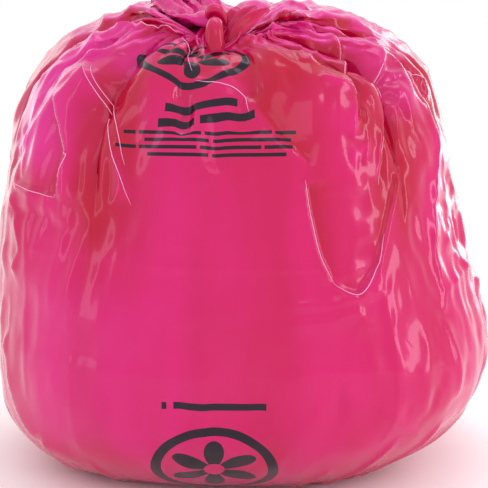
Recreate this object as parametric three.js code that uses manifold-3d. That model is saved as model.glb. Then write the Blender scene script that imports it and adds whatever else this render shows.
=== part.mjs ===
// A filled waste sack of thin film, standing on its base with its neck tied in an overhand knot.
// The film, its knot and the short tail behind the knot are one piece. Millimetres, +Z up, the
// origin on the floor under the middle of the sack, and the front towards -Y.
import * as THREE from 'three';
import { mergeVertices } from 'three/addons/utils/BufferGeometryUtils.js';
import Module from 'manifold-3d';

// Sack: widest left to right, widest front to back, and floor to the top of the shoulders.
const SACK_WIDTH = 533;
const SACK_DEPTH = 484;
const SACK_HEIGHT = 508;

// Neck: where the film is pinched, off the middle of the sack, and how thick it is there.
const NECK_X = -24;
const NECK_Y = -112;
const NECK_RADIUS = 15;
const NECK_DROP = 40; // from the top of the shoulders down to the pinch

// Knot: the film wrapped once round the neck, the bight that hangs in front and the end on top.
const WRAP_THICKNESS = 8;
const WRAP_HEIGHT = 30;
const BIGHT_WIDTH = 20;
const BIGHT_LENGTH = 44;
const BIGHT_THICKNESS = 28;
const BIGHT_LEAN = THREE.MathUtils.degToRad(12);
const END_WIDTH = 17;
const END_LENGTH = 54;
const END_LEAN = THREE.MathUtils.degToRad(-14);

// Tail: the spare film above the knot, fanned out on the shoulders behind it.
const TAIL_LENGTH = 104;
const TAIL_WIDTH = 92;
const TAIL_THICKNESS = 8;
const TAIL_RUFFLE = 4;
const TAIL_RUFFLES = 3;
const TAIL_RISE = 24; // from the knot to its far end
const TAIL_END_SQUARENESS = 8; // 2 gives a round end, more gives a squarer one
const TAIL_TURN = THREE.MathUtils.degToRad(24); // towards the left of straight back

// Mesh fineness.
const AROUND = 96;
const UP = 44;
const TAIL_AROUND = 40;
const TAIL_ALONG = 16;
const LUMP_AROUND = 20;
const LUMP_UP = 14;
const SLIVER = 0.1; // faces narrower than this, left where solids are joined, are closed up

// The sack's outline, ring by ring from the middle of the base to the pinch, in shares of its
// height, half width and half depth. neck is how far the ring's centre has moved over to the
// pinch, and dip is how much lower its front is than its back.
const RINGS = [
  { height: 0.000, left: 0.00, right: 0.00, front: 0.00, back: 0.00, neck: 0.00, dip: 0.000 },
  { height: 0.000, left: 0.30, right: 0.24, front: 0.25, back: 0.32, neck: 0.00, dip: 0.000 },
  { height: 0.000, left: 0.54, right: 0.38, front: 0.43, back: 0.56, neck: 0.00, dip: 0.000 },
  { height: 0.014, left: 0.75, right: 0.57, front: 0.59, back: 0.70, neck: 0.00, dip: 0.000 },
  { height: 0.055, left: 0.89, right: 0.73, front: 0.74, back: 0.84, neck: 0.00, dip: 0.000 },
  { height: 0.125, left: 0.98, right: 0.89, front: 0.89, back: 0.95, neck: 0.00, dip: 0.000 },
  { height: 0.230, left: 1.00, right: 1.00, front: 1.00, back: 1.00, neck: 0.00, dip: 0.000 },
  { height: 0.350, left: 1.00, right: 0.97, front: 0.99, back: 1.00, neck: 0.00, dip: 0.000 },
  { height: 0.480, left: 0.99, right: 0.89, front: 0.96, back: 0.98, neck: 0.00, dip: 0.000 },
  { height: 0.620, left: 0.97, right: 0.85, front: 0.92, back: 0.95, neck: 0.00, dip: 0.000 },
  { height: 0.750, left: 0.94, right: 0.82, front: 0.86, back: 0.91, neck: 0.00, dip: 0.000 },
  { height: 0.860, left: 0.85, right: 0.77, front: 0.75, back: 0.85, neck: 0.05, dip: 0.000 },
  { height: 0.942, left: 0.65, right: 0.60, front: 0.57, back: 0.76, neck: 0.20, dip: 0.033 },
  { height: 0.988, left: 0.46, right: 0.42, front: 0.35, back: 0.64, neck: 0.50, dip: 0.070 },
  { height: 0.998, left: 0.30, right: 0.28, front: 0.15, back: 0.42, neck: 0.80, dip: 0.074 },
  { height: 0.954, left: 0.15, right: 0.14, front: 0.05, back: 0.19, neck: 0.96, dip: 0.030 },
];
const SQUARENESS = 2.35; // 2 gives round rings, more gives squarer ones

// The creases that run out from the knot and down the shoulders. azimuth is from straight in
// front towards the right, lean is how far the crease turns on its way down, depth is its share
// of the deepest crease, spread is how wide the valley is and foot is the share of the height
// where it dies out.
const CREASE_DEPTH = 32;
const CREASES = [
  { azimuth: -14, lean: -10, depth: 0.30, spread: 7, foot: 0.78 },
  { azimuth: 22, lean: 8, depth: 0.55, spread: 7, foot: 0.66 },
  { azimuth: 46, lean: -4, depth: 0.95, spread: 7, foot: 0.46 },
  { azimuth: 66, lean: 0, depth: 0.70, spread: 6, foot: 0.66 },
  { azimuth: 86, lean: -4, depth: 0.90, spread: 8, foot: 0.50 },
  { azimuth: 112, lean: 0, depth: 0.75, spread: 9, foot: 0.56 },
  { azimuth: 146, lean: 6, depth: 0.75, spread: 9, foot: 0.50 },
  { azimuth: 178, lean: -4, depth: 0.80, spread: 8, foot: 0.46 },
  { azimuth: -148, lean: -6, depth: 0.70, spread: 9, foot: 0.56 },
  { azimuth: -114, lean: 4, depth: 0.90, spread: 8, foot: 0.48 },
  { azimuth: -88, lean: 8, depth: 0.90, spread: 7, foot: 0.50 },
  { azimuth: -66, lean: 6, depth: 0.65, spread: 6, foot: 0.62 },
  { azimuth: -48, lean: 16, depth: 1.00, spread: 7, foot: 0.44 },
];
const CREASE_RISE = 0.34; // the share of the height over which a crease gains its full depth
const CREASE_FADE_LENGTH = 90; // nearer to the knot than this, the creases close up

const smooth = (low, high, x) => THREE.MathUtils.smoothstep(x, low, high);

// A value of the ring table between its rings, on a smooth curve through them.
function ringValue(rings, key, t) {
  const at = THREE.MathUtils.clamp(t, 0, 1) * (rings.length - 1);
  const i = Math.min(Math.floor(at), rings.length - 2);
  const row = (k) => rings[THREE.MathUtils.clamp(k, 0, rings.length - 1)][key];
  const f = at - i;
  const rise = (row(i + 1) - row(i - 1)) / 2;
  const fall = (row(i + 2) - row(i)) / 2;
  const step = row(i + 1) - row(i);
  return row(i) + f * (rise + f * (3 * step - 2 * rise - fall + f * (rise + fall - 2 * step)));
}

// A round ring of the gathered film, as far above the pinch as rise.
function gathered(radius, rise) {
  return {
    height: (SACK_HEIGHT - NECK_DROP + rise) / SACK_HEIGHT,
    left: (2 * radius) / SACK_WIDTH,
    right: (2 * radius) / SACK_WIDTH,
    front: (2 * radius) / SACK_DEPTH,
    back: (2 * radius) / SACK_DEPTH,
    neck: 1,
    dip: 0,
  };
}

// The rings go on over the pinch and up the wrap of the knot.
const wrapRadius = NECK_RADIUS + WRAP_THICKNESS;
const rings = [
  ...RINGS,
  gathered(NECK_RADIUS, 0),
  gathered(wrapRadius, WRAP_HEIGHT * 0.3),
  gathered(wrapRadius, WRAP_HEIGHT * 0.7),
  gathered(NECK_RADIUS, WRAP_HEIGHT),
];

// The film before it is creased: azimuth in radians, t from the base's middle to the knot's top.
function smoothFilm(azimuth, t) {
  const value = (key) => ringValue(rings, key, t);
  const side = Math.sin(azimuth);
  const ahead = Math.cos(azimuth);
  const squarer = (c) => Math.sign(c) * Math.abs(c) ** (2 / SQUARENESS);
  const halfWidth = (SACK_WIDTH / 2) * value(side < 0 ? 'left' : 'right');
  const halfDepth = (SACK_DEPTH / 2) * value(ahead < 0 ? 'back' : 'front');
  return new THREE.Vector3(
    value('neck') * NECK_X + halfWidth * squarer(side),
    value('neck') * NECK_Y - halfDepth * squarer(ahead),
    SACK_HEIGHT * Math.max(0, value('height') - value('dip') * Math.max(0, ahead)),
  );
}

// How deep the creases are at a point of the film.
function creaseDepth(azimuth, t, point) {
  const height = point.z / SACK_HEIGHT;
  const reach = Math.hypot(point.x - NECK_X, point.y - NECK_Y);
  const onTop = smooth(0.7, 1, t);
  let depth = 0;
  for (const crease of CREASES) {
    const middle = crease.azimuth + crease.lean * (1 - onTop);
    const away = Math.abs(THREE.MathUtils.euclideanModulo(
      THREE.MathUtils.radToDeg(azimuth) - middle + 180, 360) - 180);
    const along = Math.max(onTop, smooth(crease.foot, crease.foot + CREASE_RISE, height));
    depth += CREASE_DEPTH * crease.depth * along * Math.exp(-away / crease.spread);
  }
  return depth * THREE.MathUtils.clamp((reach - wrapRadius) / CREASE_FADE_LENGTH, 0, 1);
}

// The film with its creases, pushed in across the surface.
function film(azimuth, t) {
  const point = smoothFilm(azimuth, t);
  const nudge = 0.002;
  const round = smoothFilm(azimuth + nudge, t).sub(smoothFilm(azimuth - nudge, t));
  const up = smoothFilm(azimuth, t + nudge).sub(smoothFilm(azimuth, t - nudge));
  const outward = round.cross(up).normalize();
  return point.addScaledVector(outward, -creaseDepth(azimuth, t, point));
}

// A closed skin from a turned blank: each ring of the blank is laid where place() puts it.
function skin(around, up, place) {
  const blank = [];
  for (let i = 0; i <= up; i += 1) {
    const end = i === 0 || i === up;
    blank.push(new THREE.Vector2(end ? 0 : 1, i));
  }
  const geometry = new THREE.LatheGeometry(blank, around);
  const position = geometry.getAttribute('position');
  for (let i = 0; i < position.count; i += 1) {
    const row = Math.round(position.getY(i));
    const turn = Math.floor(i / (up + 1)) % around;
    const point = place((2 * Math.PI * turn) / around, row / up);
    position.setXYZ(i, point.x, point.y, point.z);
  }
  return geometry;
}

const wasm = await Module();
wasm.setup();

function solid(geometry) {
  const bare = geometry.clone();
  bare.deleteAttribute('normal');
  bare.deleteAttribute('uv');
  const merged = mergeVertices(bare, 1e-3);
  const made = new wasm.Manifold(new wasm.Mesh({
    numProp: 3,
    vertProperties: merged.getAttribute('position').array,
    triVerts: new Uint32Array(merged.index.array),
  }));
  return made;
}

function geometryOf(manifold) {
  const mesh = manifold.getMesh();
  const geometry = new THREE.BufferGeometry();
  geometry.setAttribute('position', new THREE.BufferAttribute(mesh.vertProperties, 3));
  geometry.setIndex(new THREE.BufferAttribute(mesh.triVerts, 1));
  geometry.computeVertexNormals();
  return geometry;
}

// A rounded lump of film, egg shaped, tilted sideways and placed by its middle.
function lump(width, thickness, length, lean, middle) {
  const geometry = new THREE.SphereGeometry(0.5, LUMP_AROUND, LUMP_UP);
  geometry.scale(width, thickness, length);
  geometry.rotateY(lean);
  geometry.translate(middle.x, middle.y, middle.z);
  return geometry;
}

const pinchPoint = new THREE.Vector3(NECK_X, NECK_Y, SACK_HEIGHT - NECK_DROP);

// The last ring closes over the top of the wrap.
function sackBody() {
  const top = pinchPoint.clone();
  top.z += WRAP_HEIGHT;
  const lastRow = 1 - 1 / UP;
  return solid(skin(AROUND, UP, (azimuth, t) => (
    t > lastRow ? top.clone() : film(azimuth, t / lastRow))));
}

// The bight hangs in front of the wrap, a little to its left.
function knotBight() {
  const middle = pinchPoint.clone();
  middle.x -= BIGHT_WIDTH / 2;
  middle.y -= wrapRadius - BIGHT_THICKNESS / 4;
  middle.z += BIGHT_LENGTH / 4;
  return solid(lump(BIGHT_WIDTH, BIGHT_THICKNESS, BIGHT_LENGTH, BIGHT_LEAN, middle));
}

// The end comes up through the wrap and stands on top of it.
function knotEnd() {
  const middle = pinchPoint.clone();
  middle.z += WRAP_HEIGHT / 3;
  return solid(lump(END_WIDTH, END_WIDTH, END_LENGTH, END_LEAN, middle));
}

// The tail leaves the wrap towards the back, widens into a fan and lies over the shoulders.
function tail() {
  return solid(skin(TAIL_AROUND, TAIL_ALONG, (turn, t) => {
    const spread = Math.sqrt(Math.sin((Math.PI / 2) * t));
    const closed = Math.sqrt(1 - (2 * t - 1) ** TAIL_END_SQUARENESS);
    const across = Math.cos(turn) * closed * THREE.MathUtils.lerp(NECK_RADIUS, TAIL_WIDTH / 2, spread);
    const thick = Math.sin(turn) * closed * THREE.MathUtils.lerp(NECK_RADIUS, TAIL_THICKNESS / 2, spread);
    const ruffle = TAIL_RUFFLE * t * Math.sin((TAIL_RUFFLES * 2 * Math.PI * across) / TAIL_WIDTH);
    const climb = (WRAP_HEIGHT * 2) / 3 + TAIL_RISE * t;
    return new THREE.Vector3(across, t * TAIL_LENGTH, climb + ruffle - thick)
      .applyAxisAngle(new THREE.Vector3(0, 0, 1), TAIL_TURN)
      .add(pinchPoint);
  }));
}

// Where film lies on film the union can seal a speck of air in, so only the outer shell is kept.
const joined = sackBody().add(knotBight()).add(knotEnd()).add(tail());
const sack = joined.simplify(SLIVER).decompose().reduce((most, shell) => (
  shell.volume() > most.volume() ? shell : most));

const bagFilm = new THREE.Mesh(
  geometryOf(sack),
  new THREE.MeshStandardMaterial({ color: 0xdc2f75, roughness: 0.22, metalness: 0 }),
);
bagFilm.name = 'bag_film';

const wasteBag = new THREE.Group();
wasteBag.add(bagFilm);

export default wasteBag;
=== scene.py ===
"""A filled waste bag of thin red-pink film that stands on its base, tied in a knot of its own film.

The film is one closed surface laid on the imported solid's own outline. A cloth simulation of a
liner with more girth than the shoulders need gives the loose wrinkles, and the folds that show
are then laid in one by one. The knot follows a real overhand knot's path.
"""
import math

import bpy
import numpy as np
from bpy.props import FloatProperty, FloatVectorProperty, IntProperty, PointerProperty
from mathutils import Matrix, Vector


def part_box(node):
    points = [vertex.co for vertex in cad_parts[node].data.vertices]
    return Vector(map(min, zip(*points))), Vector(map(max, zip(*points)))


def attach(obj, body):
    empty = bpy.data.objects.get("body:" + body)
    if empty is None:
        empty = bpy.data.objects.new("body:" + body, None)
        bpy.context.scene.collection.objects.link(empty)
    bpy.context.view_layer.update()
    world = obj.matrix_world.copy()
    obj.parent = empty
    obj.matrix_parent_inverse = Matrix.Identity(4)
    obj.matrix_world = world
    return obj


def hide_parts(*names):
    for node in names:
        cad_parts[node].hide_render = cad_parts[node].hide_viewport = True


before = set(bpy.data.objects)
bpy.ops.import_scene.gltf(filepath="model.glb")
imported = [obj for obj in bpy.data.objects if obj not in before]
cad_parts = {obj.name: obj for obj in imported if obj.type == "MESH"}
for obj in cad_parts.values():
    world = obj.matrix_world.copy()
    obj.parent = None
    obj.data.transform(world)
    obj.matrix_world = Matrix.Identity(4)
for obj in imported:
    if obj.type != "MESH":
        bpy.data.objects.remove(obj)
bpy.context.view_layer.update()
cad_low, cad_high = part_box("bag_film")

bl_info = {
    "name": "Tied film bag",
    "version": (1, 0, 0),
    "blender": (4, 5, 0),
    "location": "View3D > Sidebar > Film bag",
    "description": "Builds a filled and tied bag of thin film and the studio that it stands in",
    "category": "Add Mesh",
}

MM = 0.001

# The sack's outline, ring by ring from the middle of the base to the neck: height, left, right,
# front and back in shares of its height, half width and half depth, then how far the ring's
# middle has moved over to the neck, and how much lower its front is than its back.
RINGS = (
    (0.000, 0.00, 0.00, 0.00, 0.00, 0.00, 0.000),
    (0.000, 0.30, 0.24, 0.25, 0.32, 0.00, 0.000),
    (0.000, 0.54, 0.38, 0.43, 0.56, 0.00, 0.000),
    (0.014, 0.75, 0.57, 0.59, 0.70, 0.00, 0.000),
    (0.055, 0.89, 0.73, 0.74, 0.84, 0.00, 0.000),
    (0.125, 0.98, 0.89, 0.89, 0.95, 0.00, 0.000),
    (0.230, 1.00, 1.00, 1.00, 1.00, 0.00, 0.000),
    (0.350, 1.00, 0.97, 0.99, 1.00, 0.00, 0.000),
    (0.480, 0.99, 0.89, 0.96, 0.98, 0.00, 0.000),
    (0.620, 0.97, 0.85, 0.92, 0.95, 0.00, 0.000),
    (0.750, 0.94, 0.82, 0.86, 0.91, 0.00, 0.000),
    (0.860, 0.85, 0.77, 0.75, 0.85, 0.05, 0.000),
    (0.942, 0.65, 0.60, 0.57, 0.76, 0.20, 0.033),
    (0.988, 0.46, 0.42, 0.35, 0.64, 0.50, 0.070),
    (0.998, 0.30, 0.28, 0.15, 0.42, 0.80, 0.074),
    (0.954, 0.15, 0.14, 0.05, 0.19, 0.96, 0.030),
)
SQUARENESS = 2.35

# The valleys that run down from the knot between the lobes of the shoulders: azimuth in degrees
# from straight in front towards the right, how far it turns on its way down, its share of the
# deepest, how wide it spreads in degrees and the share of the height where it dies out.
VALLEYS = (
    (-14, -10, 0.30, 7, 0.78),
    (22, 8, 0.55, 7, 0.66),
    (46, -4, 0.95, 7, 0.46),
    (66, 0, 0.70, 6, 0.66),
    (86, -4, 0.90, 8, 0.50),
    (112, 0, 0.75, 9, 0.56),
    (146, 6, 0.75, 9, 0.50),
    (178, -4, 0.80, 8, 0.46),
    (-148, -6, 0.70, 9, 0.56),
    (-114, 4, 0.90, 8, 0.48),
    (-88, 8, 0.90, 7, 0.50),
    (-66, 6, 0.65, 6, 0.62),
    (-48, 16, 1.00, 7, 0.44),
)

# The folds of the front, each a line of (azimuth in degrees, share of the way up the film), then
# how far it stands out and how wide it is on its left and right side, in millimetres.
RIDGES = (
    (((-51, 0.763), (-34, 0.703), (-27, 0.644), (-22, 0.591)), 4.0, 5, 16),
    (((-47, 0.762), (-30, 0.693), (-24, 0.634)), 2.0, 4, 4),
    (((-80, 0.819), (-62, 0.801), (-52, 0.780)), 5.0, 6, 12),
    (((-80, 0.826), (-56, 0.900), (-50, 0.950), (-55, 0.985)), 8.0, 9, 16),
    (((-26, 0.909), (-17, 0.830), (-11, 0.759)), 3.0, 4, 8),
    (((-10, 0.745), (-4, 0.729), (0, 0.719)), 3.0, 4, 6),
    (((-4, 0.760), (-2, 0.736), (0, 0.719), (1, 0.696)), 3.0, 4, 6),
    (((-2, 0.860), (20, 0.905), (44, 0.935), (70, 0.945)), 9.0, 14, 9),
    (((56, 0.901), (58, 0.887), (66, 0.879)), 3.0, 4, 6),
    (((39, 0.876), (20, 0.800), (17, 0.770)), 3.0, 4, 5),
    (((49, 0.871), (24, 0.800), (19, 0.770)), 3.0, 5, 4),
    (((-6, 0.641), (-4, 0.610), (-2, 0.567)), 2.0, 4, 10),
    (((-18, 0.565), (-7, 0.549), (0, 0.530)), 2.0, 8, 12),
    (((20, 0.750), (29, 0.716), (26, 0.661)), 4.5, 5, 16),
    (((24, 0.643), (31, 0.656), (29, 0.637)), 3.0, 5, 8),
    (((40, 0.696), (45, 0.697), (40, 0.686)), 3.0, 4, 6),
    (((51, 0.729), (46, 0.694), (44, 0.656), (42, 0.624)), 3.0, 5, 8),
    (((62, 0.749), (68, 0.730), (72, 0.714), (68, 0.691)), 3.0, 5, 6),
    (((-55, 0.610), (-55, 0.340)), 1.3, 4, 9),
    (((-38, 0.560), (-37, 0.260)), 0.9, 12, 4),
    (((-6, 0.560), (-6, 0.300)), 1.3, 4, 8),
    (((8, 0.520), (10, 0.240)), 0.9, 14, 4),
    (((31, 0.560), (31, 0.300)), 1.3, 8, 4),
    (((-62, 0.531), (-10, 0.528), (36, 0.524)), 0.9, 4, 5),
    (((-60, 0.408), (-8, 0.404), (34, 0.408)), 1.0, 4, 5),
    (((-58, 0.160), (-52, 0.235), (-50, 0.300)), 3.0, 6, 12),
    (((-38, 0.150), (-35, 0.215), (-36, 0.270)), 2.4, 10, 5),
    (((14, 0.150), (18, 0.215), (21, 0.265)), 2.6, 10, 5),
    (((26, 0.150), (31, 0.230), (36, 0.320)), 3.2, 6, 12),
    (((38, 0.150), (44, 0.240), (52, 0.330)), 3.2, 6, 12),
    (((52, 0.160), (60, 0.250), (70, 0.330)), 3.0, 6, 12),
    (((6, 0.486), (16, 0.484), (24, 0.491), (32, 0.497)), 3.0, 9, 5),
    (((7, 0.463), (16, 0.466), (25, 0.477)), 2.4, 9, 6),
    (((17, 0.383), (22, 0.374), (30, 0.351), (48, 0.294)), 3.0, 5, 10),
    (((64, 0.684), (60, 0.626), (56, 0.581), (53, 0.527), (54, 0.480), (50, 0.451)), 5.0, 14, 7),
    (((50, 0.451), (52, 0.400), (53, 0.350)), 4.0, 14, 8),
    (((60, 0.541), (69, 0.500), (81, 0.459)), 4.0, 8, 8),
    (((55, 0.481), (66, 0.490), (78, 0.500)), 4.0, 8, 8),
    (((-70, 0.600), (-61, 0.560), (-58, 0.523), (-63, 0.490)), 4.5, 8, 12),
    (((-68, 0.420), (-63, 0.337), (-53, 0.287)), 3.5, 12, 8),
)

# Lips, where the film on the left side of the line, seen along it, lies over the right side.
LIPS = (
    (((-53, 0.710), (-47, 0.677), (-42, 0.646), (-44, 0.611), (-45, 0.594)), 7.0, 18, 12),
    (((-44, 0.594), (-54, 0.595), (-66, 0.600)), 5.5, 14, 10),
    (((29, 0.713), (30, 0.747), (40, 0.799), (64, 0.860), (76, 0.893)), 11.0, 16, 20),
    (((34, 0.610), (36, 0.647), (40, 0.690), (43, 0.743), (65, 0.792)), 9.0, 14, 14),
    (((64, 0.684), (58, 0.713), (62, 0.750), (66, 0.790)), 6.0, 10, 12),
    (((14, 0.634), (7, 0.664), (3, 0.694), (0, 0.724)), 5.0, 26, 18),
    (((42, 0.631), (38, 0.591), (34, 0.557), (30, 0.519), (24, 0.493), (18, 0.507)), 6.0, 12, 20),
    (((18, 0.507), (15, 0.539), (13, 0.583), (12, 0.621)), 6.0, 9, 22),
)

# The share of its line over which a ridge or a lip fades at each end, and how far a lip's two
# sides blend.
RIDGE_FADE, LIP_FADE = 0.12, 0.1
LIP_BLEND = 3.5 * MM

# The hard folds that get a thin pale edge along them, a painted highlight.
EDGE_LINES = (
    ((-51, 0.763), (-34, 0.703), (-27, 0.644), (-22, 0.591)),
    ((-47, 0.762), (-30, 0.693), (-24, 0.634)),
    ((-80, 0.826), (-68, 0.868), (-56, 0.900), (-50, 0.950)),
    ((-26, 0.909), (-17, 0.830), (-11, 0.759)),
    ((-9, 0.739), (-4, 0.729), (0, 0.719), (1, 0.696)),
    ((-53, 0.710), (-47, 0.677), (-42, 0.644), (-41, 0.639), (-44, 0.611), (-45, 0.592)),
    ((-45, 0.592), (-53, 0.594), (-65, 0.597)),
    ((29, 0.713), (30, 0.747), (40, 0.799), (64, 0.860)),
    ((34, 0.610), (36, 0.647), (40, 0.690), (43, 0.743), (58, 0.780)),
    ((62, 0.749), (68, 0.730), (72, 0.714), (68, 0.691)),
    ((62, 0.750), (58, 0.713), (64, 0.684), (60, 0.626), (56, 0.581), (53, 0.527)),
    ((18, 0.507), (15, 0.539), (13, 0.583), (12, 0.621)),
    ((34, 0.557), (30, 0.519), (24, 0.493), (18, 0.507)),
)

# Patches of fine crinkles: azimuth, share of the way up, radius and depth in millimetres.
CRINKLED = (
    (-58, 0.79, 34, 2.2), (-75, 0.87, 60, 2.0), (-110, 0.95, 60, 2.5), (32, 0.700, 24, 2.6),
    (50, 0.885, 34, 2.6), (66, 0.715, 30, 2.2), (78, 0.56, 80, 3.2), (80, 0.40, 80, 3.2),
    (70, 0.80, 34, 2.6), (-72, 0.42, 60, 1.4), (120, 0.93, 70, 2.5), (100, 0.80, 60, 2.0),
    (170, 0.90, 70, 2.0), (-140, 0.88, 70, 2.0), (140, 0.70, 70, 1.4), (-110, 0.66, 60, 1.6),
)

# Lobes of the shoulders, and a patch low on the left, where light comes through: azimuth of the
# middle and half width in degrees, lowest and highest share of the way up, and how much light.
LIT_LOBES = (
    (-62, 17, 0.60, 0.90, 0.65), (-36, 12, 0.74, 0.95, 0.40), (52, 12, 0.66, 0.83, 0.35),
    (66, 14, 0.84, 0.98, 0.50), (-40, 22, 0.28, 0.52, 0.18),
)

# The rope of gathered film that makes the overhand knot, from inside the neck, once round it and
# out in front: points from the pinch in millimetres, then the rope's half width at each.
KNOT_PATH = (
    (0, 4, -22, 13), (0, 2, -8, 14), (2, 3, 5, 13), (9, 3, 13, 10), (17, -4, 11, 8), (17, -13, 3, 7),
    (9, -20, -4, 6), (-3, -20, -9, 7), (-14, -14, -7, 8), (-17, -2, 1, 8), (-9, 8, 9, 8), (3, 10, 16, 7),
)
# The bight that hangs in front, and the nub of film that stands on top of the knot.
BIGHT_PATH = (
    (-3, -10, 19, 4.0), (-4, -18, 22, 7.0), (-5, -25, 16, 8.8), (-5, -28, 6, 9.4), (-4, -28, -4, 9.0),
    (-3, -26, -12, 7.0), (-2, -23, -17, 3.5),
)
NUB_PATH = (
    (5, -4, 15, 4.5), (4, -5, 22, 5.0), (1, -6, 28, 5.8), (-3, -6, 32, 6.4), (-8, -5, 32, 6.0),
    (-11, -3, 28, 4.5), (-10, -2, 23, 3.0),
)
# Folds of spare film that fan out from the knot, up to the right.
FAN_PATHS = (
    ((5, -14, -4, 4), (17, -15, 11, 6), (33, -9, 25, 6), (50, 2, 33, 3)),
    ((4, -8, 2, 4), (14, -9, 16, 6), (27, -3, 29, 6), (38, 6, 35, 3)),
    ((0, -6, 8, 4), (6, -5, 18, 5), (14, 0, 29, 5), (20, 8, 34, 3)),
)

# The bars printed on the front, in metres across it from its middle and up along the film: left
# end, right end, height on the film, thickness, tilt and how far apart a bar's gaps can be.
PRINT_BARS = (
    (-0.081, 0.001, 0.629, 0.0085, 0.10, 0.060),
    (-0.087, 0.012, 0.614, 0.0085, 0.10, 0.042),
    (-0.122, 0.051, 0.600, 0.0035, 0.00, 0.023),
    (-0.100, 0.046, 0.593, 0.0035, 0.00, 0.027),
    (-0.128, 0.047, 0.586, 0.0035, 0.00, 0.021),
    (-0.096, 0.040, 0.579, 0.0035, 0.00, 0.025),
    (-0.081, 0.022, 0.333, 0.0075, 0.00, 0.046),
)
# Six-petalled rosettes in a ring: middle across, middle up the film and radius.
PRINT_ROSETTES = ((-0.052, 0.708, 0.060), (-0.030, 0.246, 0.066))

# A place on the print's map where nothing is printed.
OFF_PRINT = 9.0

# Vertices round the film and rows up it, as laid and in the cloth simulation, and the steps in
# which the film is measured from base to neck.
AROUND, UP = 420, 220
CLOTH_AROUND, CLOTH_UP = 168, 84
MEASURED = 1201
# The share of the way through the rings from which the film lies on top of the shoulders.
TOP_FROM = 0.7


def linear(code):
    """An sRGB hex colour as the linear values that the shaders take."""
    shares = [int(code[i:i + 2], 16) / 255 for i in (0, 2, 4)]
    return tuple(c / 12.92 if c <= 0.04045 else ((c + 0.055) / 1.055) ** 2.4 for c in shares)


class FilmSizes(bpy.types.PropertyGroup):
    width: FloatProperty(name="Width", description="Widest, left to right",
                         default=cad_high.x - cad_low.x, unit="LENGTH")
    depth: FloatProperty(name="Depth", description="Widest, front to back",
                         default=cad_high.y - cad_low.y, unit="LENGTH")
    height: FloatProperty(name="Height", description="Floor to the top of the shoulders",
                          default=0.508, unit="LENGTH")
    girth: FloatProperty(name="Girth", description="Once round the flat liner, front and back",
                         default=1.676, unit="LENGTH")
    neck_x: FloatProperty(name="Neck across", description="Neck, from the sack's middle to the right",
                          default=-0.024, unit="LENGTH")
    neck_y: FloatProperty(name="Neck back", description="Neck, from the sack's middle to the back",
                          default=-0.112, unit="LENGTH")
    neck_radius: FloatProperty(name="Neck radius", description="The gathered film at the pinch",
                               default=0.015, unit="LENGTH")
    neck_drop: FloatProperty(name="Neck drop",
                             description="From the top of the shoulders down to the pinch",
                             default=0.040, unit="LENGTH")
    valley_depth: FloatProperty(name="Valley depth", description="The deepest valley of the shoulders",
                                 default=0.032, unit="LENGTH")
    pleats: IntProperty(name="Pleats", description="Small pleats round the neck", default=38)


class FilmColours(bpy.types.PropertyGroup):
    film: FloatVectorProperty(name="Film", description="The film in plain light",
                              subtype="COLOR", size=3, default=linear("D00F66"))
    # Painted shade: the deeper red that the fold attribute mixes in, in the valleys, round the neck and
    # in the troughs of pleats and ruffles.
    shade: FloatVectorProperty(name="Shade", description="The film where it lies on itself in a fold",
                               subtype="COLOR", size=3, default=linear("B4002A"))
    # Painted light: the pinker tint that the glow attribute mixes in where light would come through one
    # layer.
    glow: FloatVectorProperty(name="Glow", description="The film where light comes through one layer",
                              subtype="COLOR", size=3, default=linear("E82CA4"))
    # Painted highlight: the pale colour of the thin edges along the hard folds.
    edge: FloatVectorProperty(name="Edge", description="The film where a hard fold has whitened it",
                              subtype="COLOR", size=3, default=linear("F0A6D2"))
    ink: FloatVectorProperty(name="Ink", description="The marks printed on the front",
                             subtype="COLOR", size=3, default=linear("0C0408"))
    floor: FloatVectorProperty(name="Floor", description="The pale floor",
                               subtype="COLOR", size=3, default=linear("FFFFFF"))


def smooth(low, high, x):
    """Rises softly from 0 at low to 1 at high. Where high is the lower of the two, it falls."""
    share = np.clip((x - low) / (high - low), 0, 1)
    return share * share * (3 - 2 * share)


def ring_table(sizes):
    """RINGS with the neck's own ring at its end."""
    across = 2 * sizes.neck_radius / sizes.width
    through = 2 * sizes.neck_radius / sizes.depth
    pinch = ((sizes.height - sizes.neck_drop) / sizes.height, across, across, through, through, 1, 0)
    return np.array(RINGS + (pinch,))


def between_rings(table, t):
    """The table's values at t, on a smooth curve through its rows."""
    at = np.clip(t, 0, 1) * (len(table) - 1)
    i = np.minimum(at.astype(int), len(table) - 2)
    f = (at - i)[..., None]
    row = [table[np.clip(i + k, 0, len(table) - 1)] for k in (-1, 0, 1, 2)]
    rise, fall, step = (row[2] - row[0]) / 2, (row[3] - row[1]) / 2, row[2] - row[1]
    return row[1] + f * (rise + f * (3 * step - 2 * rise - fall + f * (rise + fall - 2 * step)))


def smooth_film(sizes, azimuth, t):
    """The film before it is creased, for arrays of azimuth in radians and t."""
    rings = between_rings(ring_table(sizes), t)
    height, left, right, front, back, neck, dip = np.moveaxis(rings, -1, 0)
    side, ahead = np.sin(azimuth), np.cos(azimuth)

    def squarer(c):
        return np.sign(c) * np.abs(c) ** (2 / SQUARENESS)

    half_width = sizes.width / 2 * np.where(side < 0, left, right)
    half_depth = sizes.depth / 2 * np.where(ahead < 0, back, front)
    return np.stack([
        neck * sizes.neck_x + half_width * squarer(side),
        neck * sizes.neck_y - half_depth * squarer(ahead),
        sizes.height * np.maximum(0, height - dip * np.maximum(0, ahead)),
    ], -1)


def even_rows(sizes, count):
    """The t of rows that lie evenly far apart along the film, and the film's length."""
    t = np.linspace(0, 1, MEASURED)
    total = np.zeros_like(t)
    sides = np.radians(np.arange(0, 360, 30))
    for a in sides:
        line = smooth_film(sizes, np.full_like(t, a), t)
        total[1:] += np.cumsum(np.linalg.norm(np.diff(line, axis=0), axis=1))
    return np.interp(np.linspace(0, 1, count), total / total[-1], t), total[-1] / len(sides)


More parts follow.
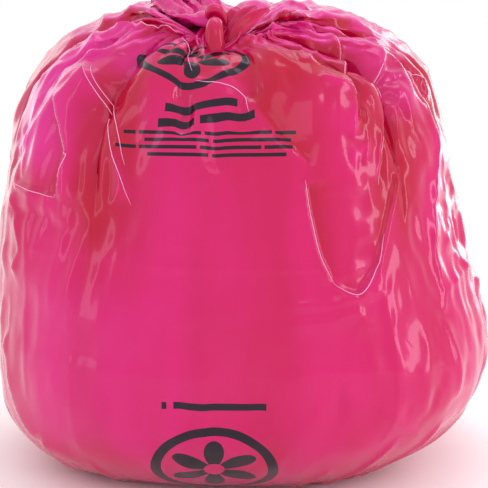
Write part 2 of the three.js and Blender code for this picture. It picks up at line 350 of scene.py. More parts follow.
def normals(points):
    """Outward directions of a grid of points, rows going up and columns going round."""
    across = np.roll(points, -1, axis=1) - np.roll(points, 1, axis=1)
    up = np.gradient(points, axis=0)
    out = np.cross(across, up)
    return out / np.maximum(np.linalg.norm(out, axis=-1, keepdims=True), 1e-12)


def turned(azimuth_deg, middle):
    """Degrees from middle round to an azimuth, between -180 and 180."""
    return (azimuth_deg - middle + 180) % 360 - 180


def valley_depth(sizes, azimuth, t, points):
    """How deep the film lies in the valleys between the lobes."""
    height = points[..., 2] / sizes.height
    reach = np.hypot(points[..., 0] - sizes.neck_x, points[..., 1] - sizes.neck_y)
    on_top = smooth(TOP_FROM, 1, t)
    depth = np.zeros_like(height)
    for middle, lean, share, spread, foot in VALLEYS:
        away = np.abs(turned(np.degrees(azimuth), middle + lean * (1 - on_top)))
        along = np.maximum(on_top, smooth(foot, foot + 0.34, height))
        depth += sizes.valley_depth * share * along * np.exp(-away / spread)
    return depth * np.clip((reach - 1.5 * sizes.neck_radius) / 0.09, 0, 1)


def film_shares():
    """How far up the film each row lies, 0 to 1: closer together from the middle of the sack up."""
    return np.interp(np.linspace(0, 1, UP + 1), (0, 0.32, 1), (0, 0.45, 1))[1:]


def film_columns(rows):
    """Azimuths of every vertex: evenly spaced, but closer together in and beside each valley."""
    fine = np.linspace(-180, 180, 1441)
    azimuth = np.zeros((len(rows), AROUND))
    for k, t in enumerate(rows):
        on_top = smooth(TOP_FROM, 1, t)
        crowd = np.ones_like(fine) + 0.9 * np.exp(-(fine / 70) ** 2)
        for middle, lean, share, *_ in VALLEYS:
            away = turned(fine, middle + lean * (1 - on_top))
            crowd += 2.2 * share * smooth(0.45, 0.75, t) * np.exp(-(away / 3.5) ** 2)
        total = np.concatenate([[0], np.cumsum((crowd[1:] + crowd[:-1]) / 2)])
        azimuth[k] = np.interp(np.arange(AROUND) / AROUND, total / total[-1], fine)
    return np.radians(azimuth)


def line_distance(azimuth_deg, share_up, line, girth, length):
    """How far each vertex is from a fold's line, in metres along the film, with its sign: the
    left of the line, seen along it, is positive. Also how far along the line it is, 0 to 1."""
    far = 9.0
    best = np.full(azimuth_deg.shape, far)
    signed = np.full(azimuth_deg.shape, far)
    run = np.zeros(azimuth_deg.shape)
    count = len(line) - 1
    for k in range(count):
        (a0, s0), (a1, s1) = line[k], line[k + 1]
        wide = girth / 360
        dx, dy = (a1 - a0) * wide, (s1 - s0) * length
        size = max(math.hypot(dx, dy), 1e-9)
        px, py = turned(azimuth_deg, a0) * wide, (share_up - s0) * length
        along = np.clip((px * dx + py * dy) / size ** 2, 0, 1)
        away = np.hypot(px - along * dx, py - along * dy)
        side = np.sign(dx * py - dy * px)
        nearer = away < best
        best = np.where(nearer, away, best)
        signed = np.where(nearer, away * side, signed)
        run = np.where(nearer, (k + along) / count, run)
    return signed, run


def fold_relief(sizes, azimuth, share_up, length):
    """How far the folds of the front stand out of the film."""
    degrees = np.degrees(azimuth)
    out = np.zeros(azimuth.shape)
    for line, height, left, right in RIDGES:
        signed, run = line_distance(degrees, share_up, line, sizes.girth, length)
        width = np.where(signed > 0, left, right) * MM
        rise, fall = smooth(0, RIDGE_FADE, run), smooth(0, RIDGE_FADE, 1 - run)
        out += height * MM * np.exp(-np.abs(signed) / width) * rise * fall
    for line, height, left, right in LIPS:
        signed, run = line_distance(degrees, share_up, line, sizes.girth, length)
        over = height / 2 * MM * np.exp(-np.maximum(signed, 0) / (left * MM))
        under = -height / 2 * MM * np.exp(-np.maximum(-signed, 0) / (right * MM))
        blend = smooth(-LIP_BLEND, LIP_BLEND, signed)
        both = over * blend + under * (1 - blend)
        out += both * smooth(0, LIP_FADE, run) * smooth(0, LIP_FADE, 1 - run)
    return out


def laid_waves(points, seed, longest, count):
    """Soft random waves over the film, mostly between -1 and 1, the same each run."""
    rng = np.random.default_rng(seed)
    total = np.zeros(points.shape[:-1])
    for k in range(count):
        way = rng.normal(size=3)
        way *= 2 * np.pi / (longest * rng.uniform(0.5, 1.0) * np.linalg.norm(way))
        total += np.sin(points @ way + rng.uniform(0, 2 * np.pi))
    return total / count ** 0.5


def crinkle_relief(sizes, azimuth, share_up, length, points):
    """Sharp little crumples in the patches where the film is crumpled most."""
    degrees = np.degrees(azimuth)
    upright = points * (1, 1, 0.5)
    sharp = 0.3 - np.abs(laid_waves(upright, 23, 0.042, 11))
    sharp += 0.25 * laid_waves(upright, 29, 0.018, 11)
    out = np.zeros(azimuth.shape)
    for middle, share, radius, depth in CRINKLED:
        away = np.hypot(turned(degrees, middle) * sizes.girth / 360, (share_up - share) * length)
        patch = smooth(1.25 * radius * MM, 0.1 * radius * MM, away)
        out += depth * MM * np.clip(sharp, -1, 1) * patch
    return out


def long_wrinkles(azimuth, share_up, points):
    """Sharp wrinkles that run down from the neck over the shoulders and sides, and leave the
    middle of the front smooth."""
    drawn = points * (1, 1, 0.2)
    ridged = 0.55 - np.abs(laid_waves(drawn, 31, 0.085, 13))
    ridged += 0.5 * (0.55 - np.abs(laid_waves(points * (1, 1, 0.35), 37, 0.040, 13)))
    plain_front = 0.85 * np.exp(-(np.degrees(azimuth) / 40) ** 2)
    return 2.6 * MM * ridged * (1 - plain_front) * smooth(0.28, 0.55, share_up)


def grid_mesh(name, points, material, low_pole=None, high_pole=None):
    """A closed tube of quads from a grid of points, with a fan of triangles at each pole."""
    up, around = points.shape[:2]
    index = np.arange(up * around).reshape(up, around)
    right = np.roll(index, -1, axis=1)
    faces = np.stack([index[:-1], right[:-1], right[1:], index[1:]], -1).reshape(-1, 4).tolist()
    vertices = points.reshape(-1, 3).tolist()
    for pole, ring, flip in ((low_pole, index[0], True), (high_pole, index[-1], False)):
        if pole is None:
            continue
        vertices.append(list(pole))
        middle = len(vertices) - 1
        for a, b in zip(ring.tolist(), np.roll(ring, -1).tolist()):
            faces.append([b, a, middle] if flip else [a, b, middle])
    mesh = bpy.data.meshes.new(name)
    mesh.from_pydata(vertices, [], faces)
    mesh.materials.append(material)
    mesh.shade_smooth()
    obj = bpy.data.objects.new(name, mesh)
    bpy.context.scene.collection.objects.link(obj)
    return obj


def grid_value(grid, rows, azimuth):
    """Values of a coarse grid, closed round, at finer rows and azimuths, on smooth curves."""
    up, around = grid.shape[:2]

    def spline(a, b, c, d, f):
        f = f[..., None]
        bend = a - 2.5 * b + 2 * c - d / 2 + f * (-a + 3 * b - 3 * c + d) / 2
        return b + f * ((c - a) / 2 + f * bend)

    y = np.clip(rows, 0, 1) * (up - 1)
    j = np.minimum(y.astype(int), up - 2)
    x = (azimuth / (2 * np.pi) + 0.5) * around
    i = np.floor(x).astype(int)
    lines = []
    for dj in (-1, 0, 1, 2):
        row = np.clip(j + dj, 0, up - 1)
        lines.append(spline(*(grid[row, (i + di) % around] for di in (-1, 0, 1, 2)), x - i))
    return spline(*lines, y - j)


def cloth_shift(sizes):
    """How far cloth simulation moves the film as it finds room for its whole girth.

    The film starts on the sack's own form and rests at the longer girth of the liner, so it
    buckles between the valleys. The base and the neck stay where they are."""
    low_share, high_share, most_spare = 0.16, 0.985, 0.16
    shares = np.linspace(low_share, high_share, CLOTH_UP)
    t = np.interp(shares, np.linspace(0, 1, MEASURED), even_rows(sizes, MEASURED)[0])
    turns = np.linspace(-np.pi, np.pi, CLOTH_AROUND, endpoint=False)
    azimuth, t = np.meshgrid(turns, t)
    points = smooth_film(sizes, azimuth, t)
    points -= normals(points) * valley_depth(sizes, azimuth, t, points)[..., None]
    out = normals(points)
    loose = smooth(low_share, 0.3, shares) * smooth(high_share, 0.9, shares)
    start = points + out * (laid_waves(points, 3, 0.07, 24) * 1.2 * MM * loose[:, None])[..., None]
    ring = np.linalg.norm(np.roll(start, -1, axis=1) - start, axis=-1).sum(axis=1)
    extra = 1 + np.clip(sizes.girth / ring - 1, 0, most_spare) * smooth(low_share, 0.45, shares)
    radius = ring * extra / (2 * np.pi)
    slant = np.linalg.norm(np.diff(start, axis=0), axis=-1).mean(axis=1)
    rise = np.sqrt(np.maximum(slant ** 2 - np.diff(radius) ** 2, (0.1 * slant) ** 2))
    level = np.concatenate([[0], np.cumsum(rise)])[:, None] + np.zeros_like(azimuth)
    radius = radius[:, None]
    rest = np.stack([radius * np.sin(azimuth), -radius * np.cos(azimuth), level], -1)

    enlarged = 4.0  # the solver is steadier on a film some metres wide
    film = grid_mesh("cloth_trial", start * enlarged, stuff_of("cloth_trial"))
    film.shape_key_add(name="Basis")
    key = film.shape_key_add(name="liner")
    key.data.foreach_set("co", (rest * enlarged).astype(np.float32).ravel())
    held = film.vertex_groups.new(name="held")
    index = np.arange(CLOTH_UP * CLOTH_AROUND).reshape(CLOTH_UP, CLOTH_AROUND)
    held.add(index[:3].ravel().tolist() + index[-3:].ravel().tolist(), 1.0, "REPLACE")
    cloth = film.modifiers.new("Cloth", "CLOTH")
    give = cloth.settings
    give.quality = 5
    give.mass = 0.2
    give.tension_stiffness, give.compression_stiffness, give.shear_stiffness = 30, 30, 10
    give.bending_stiffness = 0.6
    give.use_pressure = True
    give.uniform_pressure_force = 2.5
    give.vertex_group_mass = "held"
    give.rest_shape_key = film.data.shape_keys.key_blocks["liner"]
    give.effector_weights.gravity = 0
    cloth.collision_settings.use_collision = False
    frames = 22
    cloth.point_cache.frame_start, cloth.point_cache.frame_end = 1, frames
    for f in range(1, frames + 1):
        bpy.context.scene.frame_set(f)
    settled = film.evaluated_get(bpy.context.evaluated_depsgraph_get())
    moved = np.empty(points.size, np.float32)
    settled.data.vertices.foreach_get("co", moved)
    shift = moved.reshape(points.shape) / enlarged - points
    bpy.context.scene.frame_set(1)
    bpy.data.objects.remove(film)
    swelling = shift
    side, up = 6, 5  # columns and rows each way in the blur
    for _ in range(3):
        wide = sum(np.roll(swelling, k, axis=1) for k in range(-side, side + 1)) / (2 * side + 1)
        padded = np.concatenate([wide[:1]] * up + [wide] + [wide[-1:]] * up)
        swelling = sum(padded[k:k + CLOTH_UP] for k in range(2 * up + 1)) / (2 * up + 1)
    shift = shift - swelling
    size = np.linalg.norm(shift, axis=-1, keepdims=True)
    cap = 10 * MM
    shift *= np.minimum(1, cap / np.maximum(size, 1e-9)) * loose[:, None, None]
    return shift, (low_share, high_share)


def stuff_of(name):
    """The material of that name, made empty the first time."""
    return bpy.data.materials.get(name) or bpy.data.materials.new(name)


def add_node(tree, kind, settings=None, **inputs):
    """Adds a node, sets its settings, and sets or links its inputs, named by their labels."""
    node = tree.nodes.new(kind)
    for key, value in (settings or {}).items():
        setattr(node, key, value)
    for key, value in inputs.items():
        label = int(key[1:]) if key[1:].isdigit() else key.replace("_", " ")
        socket = node.inputs[label]
        if isinstance(value, bpy.types.NodeSocket):
            tree.links.new(value, socket)
        else:
            socket.default_value = value
    return node


def calc(tree, operation, *values):
    """One step of shader arithmetic."""
    inputs = {f"_{i}": value for i, value in enumerate(values)}
    return add_node(tree, "ShaderNodeMath", {"operation": operation}, **inputs).outputs[0]


def bar_mask(tree, u, v, bar):
    """Where a printed bar lies between its gaps: 1 on the ink and 0 beside it."""
    left, right, level, thick, tilt, spacing = bar
    across = calc(tree, "SUBTRACT", u, (left + right) / 2)
    rise = calc(tree, "MULTIPLY", across, tilt)
    up = calc(tree, "SUBTRACT", calc(tree, "SUBTRACT", v, level), rise)
    inside = calc(tree, "LESS_THAN", calc(tree, "ABSOLUTE", across), (right - left) / 2)
    thin = calc(tree, "LESS_THAN", calc(tree, "ABSOLUTE", up), thick / 2)
    wave = calc(tree, "SINE", calc(tree, "MULTIPLY_ADD", across, 2 * math.pi / spacing, level * 900))
    slow = calc(tree, "SINE", calc(tree, "MULTIPLY", across, 2.7 * math.pi / spacing))
    gaps = calc(tree, "GREATER_THAN", calc(tree, "MULTIPLY_ADD", slow, 0.3, wave), -1.14)
    return calc(tree, "MULTIPLY", calc(tree, "MULTIPLY", inside, thin), gaps)


def rosette_mask(tree, u, v, rosette):
    """A ring round six petals: 1 on the ink and 0 beside it."""
    middle, level, radius = rosette
    across, up = calc(tree, "SUBTRACT", u, middle), calc(tree, "SUBTRACT", v, level)
    squares = calc(tree, "MULTIPLY_ADD", up, up, calc(tree, "MULTIPLY", across, across))
    reach = calc(tree, "DIVIDE", calc(tree, "SQRT", squares), radius)
    turn = calc(tree, "ARCTAN2", up, across)
    off_ring = calc(tree, "ABSOLUTE", calc(tree, "SUBTRACT", reach, 0.90))
    ring = calc(tree, "LESS_THAN", off_ring, 0.08)
    petal = calc(tree, "ABSOLUTE", calc(tree, "SINE", calc(tree, "MULTIPLY", turn, 3.0)))
    length = calc(tree, "MULTIPLY", calc(tree, "POWER", petal, 0.7), 0.72)
    petals = calc(tree, "LESS_THAN", reach, length)
    heart = calc(tree, "GREATER_THAN", reach, 0.16)
    return calc(tree, "MAXIMUM", ring, calc(tree, "MULTIPLY", petals, heart))


def film_material(colours):
    """Low density polyethylene film, blown and left glossy. It is thin. Its colour is mixed to a deeper
    red as painted shade in valleys, round the neck and in the troughs of pleats and ruffles, and to a
    pinker tint as painted light where light would come through one layer. Its gloss shows every
    crinkle as a sharp highlight, and the ink of the print lies in the same gloss."""
    material = stuff_of("polyethylene_film")
    if material.node_tree and len(material.node_tree.nodes) > 4:
        return material
    material.use_nodes = True
    tree = material.node_tree
    tree.nodes.clear()
    # The fold attribute carries painted shade, and the glow attribute painted light.
    fold = add_node(tree, "ShaderNodeAttribute", {"attribute_name": "fold"})
    glow = add_node(tree, "ShaderNodeAttribute", {"attribute_name": "glow"})
    place = add_node(tree, "ShaderNodeTexCoord")
    # Patches about 110 mm across and upright bands about 60 mm wide, where more or less film lies in
    # two layers: a random tone, added below to the fold attribute's painted shade.
    cloudy = add_node(tree, "ShaderNodeTexNoise", None, Vector=place.outputs["Object"],
                      Scale=9.0, Detail=3.0, Roughness=0.5)
    upright = add_node(tree, "ShaderNodeVectorMath", {"operation": "MULTIPLY"},
                       _0=place.outputs["Object"], _1=(1.0, 1.0, 0.12))
    bands = add_node(tree, "ShaderNodeTexNoise", None, Vector=upright.outputs["Vector"],
                     Scale=17.0, Detail=2.0, Roughness=0.4)
    tone = calc(tree, "MULTIPLY_ADD", bands.outputs["Fac"], 1.5, -0.82)
    uneven = calc(tree, "MULTIPLY_ADD", cloudy.outputs["Fac"], 0.6, tone)
    # The share of the shade colour: the fold attribute's painted shade plus the random tone.
    folded = add_node(tree, "ShaderNodeMath", {"operation": "ADD", "use_clamp": True},
                      _0=fold.outputs["Fac"], _1=uneven)
    red = add_node(tree, "ShaderNodeMix", {"data_type": "RGBA"}, Factor=folded.outputs[0],
                   _6=(*colours.film, 1), _7=(*colours.shade, 1))
    pink = add_node(tree, "ShaderNodeMix", {"data_type": "RGBA"}, Factor=glow.outputs["Fac"],
                    _6=red.outputs[2], _7=(*colours.glow, 1))
    print_place = add_node(tree, "ShaderNodeUVMap", {"uv_map": "print"})
    apart = add_node(tree, "ShaderNodeSeparateXYZ", None, Vector=print_place.outputs["UV"])
    u, v = apart.outputs["X"], apart.outputs["Y"]
    masks = [bar_mask(tree, u, v, bar) for bar in PRINT_BARS]
    masks += [rosette_mask(tree, u, v, rosette) for rosette in PRINT_ROSETTES]
    inked = masks[0]
    for mask in masks[1:]:
        inked = calc(tree, "MAXIMUM", inked, mask)
    printed = add_node(tree, "ShaderNodeMix", {"data_type": "RGBA"}, Factor=inked,
                       _6=pink.outputs[2], _7=(*colours.ink, 1))
    # Crinkles from 30 mm down to about 4 mm, as coarse as they need to be to show in the render.
    crinkle = add_node(tree, "ShaderNodeTexNoise", None, Vector=place.outputs["Object"],
                       Scale=34.0, Detail=3.0, Roughness=0.5, Distortion=0.8)
    bump = add_node(tree, "ShaderNodeBump", None, Height=crinkle.outputs["Fac"],
                    Strength=0.10, Distance=0.004)
    surface = add_node(tree, "ShaderNodeBsdfPrincipled", None, Base_Color=printed.outputs[2],
                       Roughness=0.24, IOR=1.51, Specular_IOR_Level=0.28,
                       Specular_Tint=(0.88, 0.55, 1.0, 1), Coat_Weight=0.45,
                       Coat_Roughness=0.07, Coat_IOR=1.45, Normal=bump.outputs["Normal"],
                       Coat_Normal=bump.outputs["Normal"])
    add_node(tree, "ShaderNodeOutputMaterial", None, Surface=surface.outputs["BSDF"])
    return material


def edge_material(colours):
    """The same film in a pale colour, a painted highlight, so that each sharp edge reads as a thin
    pale line."""
    material = stuff_of("fold_edge_painted_highlight")
    material.use_nodes = True
    surface = material.node_tree.nodes["Principled BSDF"]
    surface.inputs["Base Color"].default_value = (*colours.edge, 1)
    surface.inputs["Roughness"].default_value = 0.3
    surface.inputs["IOR"].default_value = 1.51
    return material


def floor_material(colours):
    """Painted board, matt, so the bag's soft shadow shows on it."""
    material = stuff_of("pale_board")
    material.use_nodes = True
    surface = material.node_tree.nodes["Principled BSDF"]
    surface.inputs["Base Color"].default_value = (*colours.floor, 1)
    surface.inputs["Roughness"].default_value = 0.9
    return material


def set_attribute(obj, name, values):
    """Gives every vertex its value, and the poles 0."""
    attribute = obj.data.attributes.new(name, "FLOAT", "POINT")
    full = np.zeros(len(obj.data.vertices), np.float32)
    full[:values.size] = values.ravel()
    attribute.data.foreach_set("value", full)


def finished(obj):
    """Puts a piece of the film on the bag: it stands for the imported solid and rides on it."""
    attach(obj, "root")
    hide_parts("bag_film")


def set_uv(obj, name, u, v):
    """Gives every corner its vertex's place on a map, and the poles one off the print."""
    layer = obj.data.uv_layers.new(name=name)
    corner = np.empty(len(obj.data.loops), np.int32)
    obj.data.loops.foreach_get("vertex_index", corner)
    pair = np.full((len(obj.data.vertices), 2), OFF_PRINT, np.float32)
    pair[:u.size, 0], pair[:u.size, 1] = u.ravel(), v.ravel()
    layer.data.foreach_set("uv", pair[corner].ravel())


# Filled once by lay_film, so that the sack and its fold edges lie on the same film.
laid_film = {}


def lay_film(sizes):
    """The sack's film as laid: its points, and what its materials and folds need to know."""
    if laid_film:
        return laid_film
    every_t, length = even_rows(sizes, MEASURED)
    shares = film_shares()
    rows = np.interp(shares, np.linspace(0, 1, MEASURED), every_t)
    azimuth = film_columns(rows)
    t = rows[:, None] + np.zeros_like(azimuth)
    share_up = shares[:, None] + np.zeros_like(azimuth)
    form = smooth_film(sizes, azimuth, t)
    depth = valley_depth(sizes, azimuth, t, form)
    points = form - normals(form) * depth[..., None]
    shift, (low_share, high_share) = cloth_shift(sizes)
    inside = (shares - low_share) / (high_share - low_share)
    moved = grid_value(shift, inside[:, None] + np.zeros_like(azimuth), azimuth)
    points += moved * ((inside > 0) & (inside < 1))[:, None, None]
    reach = np.hypot(points[..., 0] - sizes.neck_x, points[..., 1] - sizes.neck_y)
    near = smooth(0.20, 0.03, reach) * smooth(0.7, 0.85, share_up)
    wander = 0.35 * np.sin(3 * azimuth) + 0.25 * np.sin(7 * azimuth + 1)
    pleats = np.abs(np.sin(sizes.pleats / 2 * azimuth + 3 * wander)) - 0.6
    pleat_height, pleat_slope = 3.2 * MM, 0.08
    relief = pleats * near * np.minimum(pleat_height, reach * pleat_slope)
    folds = fold_relief(sizes, azimuth, share_up, length)
    soft = laid_waves(form, 11, 0.16, 18) * 1.6 * MM * smooth(0.25, 0.4, share_up)
    crumpled = crinkle_relief(sizes, azimuth, share_up, length, form)
    crumpled += long_wrinkles(azimuth, share_up, form)
    closing = smooth(1, 0.97, share_up)
    points += normals(points) * (relief + (folds + soft + crumpled) * closing)[..., None]
    points[..., 2] = np.maximum(points[..., 2], 0)
    laid_film.update(points=points, form=form, azimuth=azimuth, shares=shares, share_up=share_up,
                     depth=depth, folds=folds, length=length)
    return laid_film


def film_at(film, azimuth_deg, share):
    """The laid film's points and outward directions, at azimuths and shares of the way up."""
    out = normals(film["points"])
    row = np.interp(share, film["shares"], np.arange(len(film["shares"])))
    places = []
    for a, r in zip(np.radians(azimuth_deg), row):
        low = min(int(r), len(film["shares"]) - 2)
        pair = []
        for k in (low, low + 1):
            column = np.interp(a, film["azimuth"][k], np.arange(AROUND))
            i, f = int(column), column - int(column)
            right = (i + 1) % AROUND
            pair.append(np.array([grid[k, i] * (1 - f) + grid[k, right] * f
                                  for grid in (film["points"], out)]))
        places.append(pair[0] * (1 - r + low) + pair[1] * (r - low))
    places = np.array(places)
    return places[:, 0], places[:, 1]


def through(points, count):
    """count points evenly spread on a smooth curve through the given ones, of any dimension."""
    points = np.asarray(points, float)
    return between_rings(points, np.linspace(0, 1, count))


def swept_film(name, path, rows, around, flat, pleats, pleat, material):
    """Gathered film swept along a path of (x, y, z, half width) in metres, pleated lengthwise."""
    line = through(path, rows)
    middle, half = line[:, :3], line[:, 3]
    along = np.gradient(middle, axis=0)
    along /= np.linalg.norm(along, axis=1, keepdims=True)
    side = np.zeros_like(middle)
    first = np.cross(along[0], (0.3, 1.0, 0.2))
    for k in range(rows):
        first = first - along[k] * (first @ along[k])
        first /= np.linalg.norm(first)
        side[k] = first
    other = np.cross(along, side)
    turn = np.linspace(0, 2 * np.pi, around, endpoint=False)
    ends = np.sqrt(1 - np.linspace(-1, 1, rows) ** 8 * 0.98)
    twist = np.linspace(0, 1.4, rows)[:, None]
    ridges = np.abs(np.sin(pleats / 2 * turn + twist)) - 0.5
    ripple = 1 + pleat * (ridges + 0.3 * np.sin(3 * turn + 2 * twist))
    radius = (half * ends)[:, None] * ripple
    points = middle[:, None] + radius[..., None] * (
        np.cos(turn)[None, :, None] * side[:, None]
        + flat * np.sin(turn)[None, :, None] * other[:, None])
    made = grid_mesh(name, points, material, middle[0], middle[-1])
    # Painted shade: a deeper red in the troughs between the pleats.
    set_attribute(made, "fold", np.clip(0.95 - 2.2 * (ripple - 0.85), 0, 1) + 0 * radius)
    # Painted light: a pinker glow where the film faces up.
    facing = normals(points)[..., 2]
    set_attribute(made, "glow", 0.25 * smooth(0.3, 0.95, facing))
    return made


def from_pinch(sizes, path):
    """A path given in millimetres from the pinch, in metres in the bag's own frame."""
    pinch = (sizes.neck_x, sizes.neck_y, sizes.height - sizes.neck_drop)
    return [tuple(pinch[i] + place[i] * MM for i in range(3)) + (place[3] * MM,) for place in path]


class BAG_OT_sack(bpy.types.Operator):
    """Builds the sack's film, from its base up to the neck"""
    bl_idname = "bag.sack"
    bl_label = "Sack film"

    def execute(self, context):
        sizes = context.scene.film_sizes
        film = lay_film(sizes)
        points = film["points"]
        material = film_material(context.scene.film_colours)
        sack = grid_mesh("sack_film", points, material, (0, 0, 0), points[-1].mean(axis=0))
        # Painted shade makes the film a deeper red in the valleys and round the neck, and painted light
        # makes it less red on the folds that stand out. A band high on the middle of the front is made
        # redder too.
        away = np.hypot(points[..., 0] - sizes.neck_x, points[..., 1] - sizes.neck_y)
        gathered = 0.9 * smooth(0.120, 0.035, away) * smooth(0.72, 0.85, film["share_up"])
        middle_front = np.exp(-((np.degrees(film["azimuth"]) - 16) / 32) ** 2)
        gathered += 0.5 * smooth(0.56, 0.76, film["share_up"]) * middle_front
        painted_shade_share = film["depth"] / (14 * MM) - film["folds"] / (5 * MM) + gathered
        set_attribute(sack, "fold", np.clip(painted_shade_share, 0, 1))
        # Painted light: the pinker glow where the film faces up behind the neck, and on the lobes of
        # LIT_LOBES.
        up_facing = normals(points)[..., 2]
        behind = smooth(-0.170, -0.105, points[..., 1]) * smooth(0.70, 0.85, film["share_up"])
        degrees, up = np.degrees(film["azimuth"]), film["share_up"]
        lit = 0.7 * smooth(0.35, 0.9, up_facing) * behind
        for middle, half, low, high, share in LIT_LOBES:
            across = np.exp(-(turned(degrees, middle) / half) ** 2)
            lobe = share * across * smooth(low, low + 0.05, up) * smooth(high, high - 0.06, up)
            lit = np.maximum(lit, lobe)
        set_attribute(sack, "glow", lit)
        front = np.abs(film["azimuth"]) < np.pi / 2
        set_uv(sack, "print", np.where(front, film["form"][..., 0], OFF_PRINT), up * film["length"])
        finished(sack)
        return {"FINISHED"}


class BAG_OT_knot(bpy.types.Operator):
    """Ties the gathered film in an overhand knot, with its bight, its nub and the fan of folds"""
    bl_idname = "bag.knot"
    bl_label = "Knot film"

    def execute(self, context):
        sizes = context.scene.film_sizes
        material = film_material(context.scene.film_colours)
        # Name, path, rows, vertices round, flatness, pleats and how deep they are.
        parts = [("knot_film", KNOT_PATH, 90, 64, 0.75, 7, 0.42),
                 ("bight_film", BIGHT_PATH, 48, 48, 0.7, 3, 0.05),
                 ("nub_film", NUB_PATH, 44, 36, 0.75, 4, 0.14)]
        parts += [(f"fan_film_{i + 1}", path, 40, 36, 0.30, 3, 0.34) for i, path in enumerate(FAN_PATHS)]
        for name, path, *shape in parts:
            finished(swept_film(name, from_pinch(sizes, path), *shape, material))
        return {"FINISHED"}


class BAG_OT_tail(bpy.types.Operator):
    """Lays the spare film above the knot over the shoulders behind it, ruffled and thin"""
    bl_idname = "bag.tail"
    bl_label = "Tail film"

    def execute(self, context):
        sizes = context.scene.film_sizes
        rows, around = 72, 120
        length, width, thin, turned_by = 0.104, 0.092, 0.0012, math.radians(24)
        # It leaves the knot as a round bundle, and spreads into a flat fan with two sizes of ruffle.
        t = np.linspace(0.01, 0.995, rows)[:, None]
        turn = np.linspace(0, 2 * np.pi, around, endpoint=False)[None, :]
        spread = np.sqrt(np.sin(np.pi / 2 * t))
        closed = np.sqrt(1 - (2 * t - 1) ** 8)
        across = np.cos(turn) * closed * (sizes.neck_radius * (1 - spread) + width / 2 * spread)
        thick = np.sin(turn) * closed * (sizes.neck_radius * 0.7 * (1 - t) ** 3 + thin)
        ruffles = 0.0055 * t * np.sin(6 * 2 * np.pi * across / width + 5 * t)
        ruffles += 0.0030 * t * np.abs(np.sin(8 * 2 * np.pi * across / width + 2 - 3 * t)) - 0.001
        hem = 0.006 * t * np.sin(5 * 2 * np.pi * across / width) * (t > 0.5)
        climb = 0.020 + 0.024 * t + ruffles - thick
        ahead = t * length + hem
        x = across * math.cos(turned_by) - ahead * math.sin(turned_by) + sizes.neck_x
        y = across * math.sin(turned_by) + ahead * math.cos(turned_by) + sizes.neck_y
        z = climb + sizes.height - sizes.neck_drop
        sack = bpy.data.objects["sack_film"]
        above, down = 0.1, Vector((0, 0, -1))
        for k in range(rows):
            for i in range(around):
                start = Vector((x[k, i], y[k, i], sizes.height + above))
                hit, place, *_ = sack.ray_cast(start, down)
                if hit:
                    lies = place.z + 0.004 + ruffles[k, i] * 0.8 + 0.006 * t[k, 0] - thick[k, i]
                    z[k, i] += (max(lies, place.z + 0.0005) - z[k, i]) * smooth(0.15, 0.4, t[k, 0])
        points = np.stack([x, y, z], -1)
        made = grid_mesh("tail_film", points, film_material(context.scene.film_colours),
                         points[0].mean(axis=0), points[-1].mean(axis=0))
        # Painted shade: a deeper red in the troughs of the ruffles.
        set_attribute(made, "fold", np.clip(0.4 - ruffles / 0.006, 0, 1) + 0 * x)
        # Painted light: the whole tail gets the pinker glow of light through one layer.
        set_attribute(made, "glow", 0.45 + 0 * x)
        finished(made)
        return {"FINISHED"}


def edge_sweep(material):
    """A node group that turns marked lines into thin tapered edges of folded film."""
    tree = bpy.data.node_groups.new("fold_edges", "GeometryNodeTree")
    tree.interface.new_socket("Lines", in_out="INPUT", socket_type="NodeSocketGeometry")
    half = tree.interface.new_socket("Half width", in_out="INPUT", socket_type="NodeSocketFloat")
    half.default_value, half.subtype = 0.00045, "DISTANCE"
    tree.interface.new_socket("Edges", in_out="OUTPUT", socket_type="NodeSocketGeometry")
    given = add_node(tree, "NodeGroupInput")
    taper = add_node(tree, "GeometryNodeInputNamedAttribute", {"data_type": "FLOAT"}, Name="taper")
    width = calc(tree, "MULTIPLY", taper.outputs["Attribute"], given.outputs["Half width"])
    curve = add_node(tree, "GeometryNodeMeshToCurve", None, Mesh=given.outputs["Lines"])
    ring = add_node(tree, "GeometryNodeCurvePrimitiveCircle", None, Resolution=8, Radius=1.0)
    swept = add_node(tree, "GeometryNodeCurveToMesh", None, Curve=curve.outputs["Curve"],
                     Profile_Curve=ring.outputs["Curve"], Scale=width, Fill_Caps=True)
    real = add_node(tree, "GeometryNodeRealizeInstances", None, Geometry=swept.outputs["Mesh"])
    painted = add_node(tree, "GeometryNodeSetMaterial", None, Geometry=real.outputs["Geometry"],
                       Material=material)
    add_node(tree, "NodeGroupOutput", None, Edges=painted.outputs["Geometry"])
    return tree


class BAG_OT_edges(bpy.types.Operator):
    """Runs a thin pale edge, a painted highlight, along every hard fold of the front"""
    bl_idname = "bag.edges"
    bl_label = "Fold edges"

    def execute(self, context):
        film = lay_film(context.scene.film_sizes)
        vertices, edges, tapers = [], [], []
        for line in EDGE_LINES:
            path = through(line, 14 * len(line))
            places, out = film_at(film, path[:, 0], path[:, 1])
            start = len(vertices)
            vertices += (places + out * 0.2 * MM).tolist()
            edges += [(start + k, start + k + 1) for k in range(len(path) - 1)]
            run = np.linspace(0, 1, len(path))
            tapers += np.sqrt(np.clip(4 * run * (1 - run), 0.02, 1)).tolist()
        mesh = bpy.data.meshes.new("fold_edges")
        mesh.from_pydata(vertices, edges, [])
        taper = mesh.attributes.new("taper", "FLOAT", "POINT")
        taper.data.foreach_set("value", np.array(tapers, np.float32))
        lines = bpy.data.objects.new("fold_lines", mesh)
        context.scene.collection.objects.link(lines)
        sweep = lines.modifiers.new("Edges", "NODES")
        sweep.node_group = edge_sweep(edge_material(context.scene.film_colours))
        swept = lines.evaluated_get(context.evaluated_depsgraph_get())
        made = bpy.data.objects.new("fold_edge_film", bpy.data.meshes.new_from_object(swept))
        if not made.data.polygons:
            raise RuntimeError("the fold edges came out empty")
        made.data.shade_smooth()
        bpy.data.objects.remove(lines)
        context.scene.collection.objects.link(made)
        finished(made)
        return {"FINISHED"}


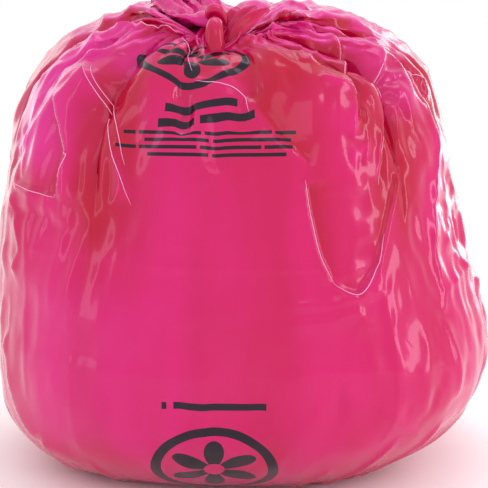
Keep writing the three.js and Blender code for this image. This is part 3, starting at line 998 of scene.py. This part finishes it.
class BAG_OT_stage(bpy.types.Operator):
    """Sets the floor, the softboxes and the camera"""
    bl_idname = "bag.stage"
    bl_label = "Studio"

    def execute(self, context):
        colours = context.scene.film_colours
        mesh = bpy.data.meshes.new("floor")
        half = 6.0
        corners = [(-half, -half, 0), (half, -half, 0), (half, half, 0), (-half, half, 0)]
        mesh.from_pydata(corners, [], [(0, 1, 2, 3)])
        mesh.materials.append(floor_material(colours))
        floor = bpy.data.objects.new("floor", mesh)
        context.scene.collection.objects.link(floor)
        world = bpy.data.worlds.new("studio")
        world.use_nodes = True
        world.node_tree.nodes["Background"].inputs["Color"].default_value = (1.0, 1.0, 1.0, 1)
        world.node_tree.nodes["Background"].inputs["Strength"].default_value = 1.0
        context.scene.world = world
        context.scene.view_settings.view_transform = "Standard"
        softboxes = (
            ("left_softbox", (-1.7, -0.9, 0.8), (0.30, 1.5), 2.5),
            ("right_softbox", (1.7, -0.7, 0.8), (0.30, 1.5), 7),
            ("left_back_softbox", (-1.5, 1.9, 0.8), (0.9, 1.6), 5),
            ("right_back_softbox", (1.5, 1.9, 0.8), (0.9, 1.6), 14),
            ("top_softbox", (0.2, 0.3, 2.0), (1.2, 0.5), 4),
            ("front_softbox", (0.7, -2.4, 1.9), (1.3, 0.9), 4),
        )
        bag_middle = Vector((0, 0, 0.25))
        for name, place, (wide, high), power in softboxes:
            light = bpy.data.lights.new(name, "AREA")
            light.shape = "RECTANGLE"
            light.size, light.size_y, light.energy = wide, high, power
            lamp = bpy.data.objects.new(name, light)
            lamp.location = place
            lamp.rotation_euler = (bag_middle - Vector(place)).to_track_quat("-Z", "Y").to_euler()
            context.scene.collection.objects.link(lamp)
        camera = bpy.data.objects.new("camera", bpy.data.cameras.new("camera"))
        elevation, distance, aim = math.radians(12), 1.9, Vector((0, 0, 0.236))
        back = Vector((0, -math.cos(elevation), math.sin(elevation)))
        camera.location = aim + back * distance
        camera.rotation_euler = (-back).to_track_quat("-Z", "Y").to_euler()
        metres_a_pixel, picture = 1.10 * MM, 488
        camera.data.lens = camera.data.sensor_width * distance / (metres_a_pixel * picture)
        context.scene.collection.objects.link(camera)
        context.scene.camera = camera
        return {"FINISHED"}


class BAG_PT_panel(bpy.types.Panel):
    bl_label = "Film bag"
    bl_idname = "BAG_PT_panel"
    bl_space_type = "VIEW_3D"
    bl_region_type = "UI"
    bl_category = "Film bag"

    def draw(self, context):
        for group in (context.scene.film_sizes, context.scene.film_colours):
            for name in group.bl_rna.properties.keys():
                if name not in ("rna_type", "name"):
                    self.layout.prop(group, name)
        for operator in OPERATORS:
            self.layout.operator(operator.bl_idname)


OPERATORS = (BAG_OT_stage, BAG_OT_sack, BAG_OT_knot, BAG_OT_tail, BAG_OT_edges)
CLASSES = (FilmSizes, FilmColours, *OPERATORS, BAG_PT_panel)


def register():
    for cls in CLASSES:
        bpy.utils.register_class(cls)
    bpy.types.Scene.film_sizes = PointerProperty(type=FilmSizes)
    bpy.types.Scene.film_colours = PointerProperty(type=FilmColours)


def unregister():
    del bpy.types.Scene.film_sizes
    del bpy.types.Scene.film_colours
    for cls in reversed(CLASSES):
        bpy.utils.unregister_class(cls)


def main():
    register()
    bpy.ops.bag.stage()
    bpy.ops.bag.sack()
    bpy.ops.bag.knot()
    bpy.ops.bag.tail()
    bpy.ops.bag.edges()


if __name__ == "__main__":
    main()
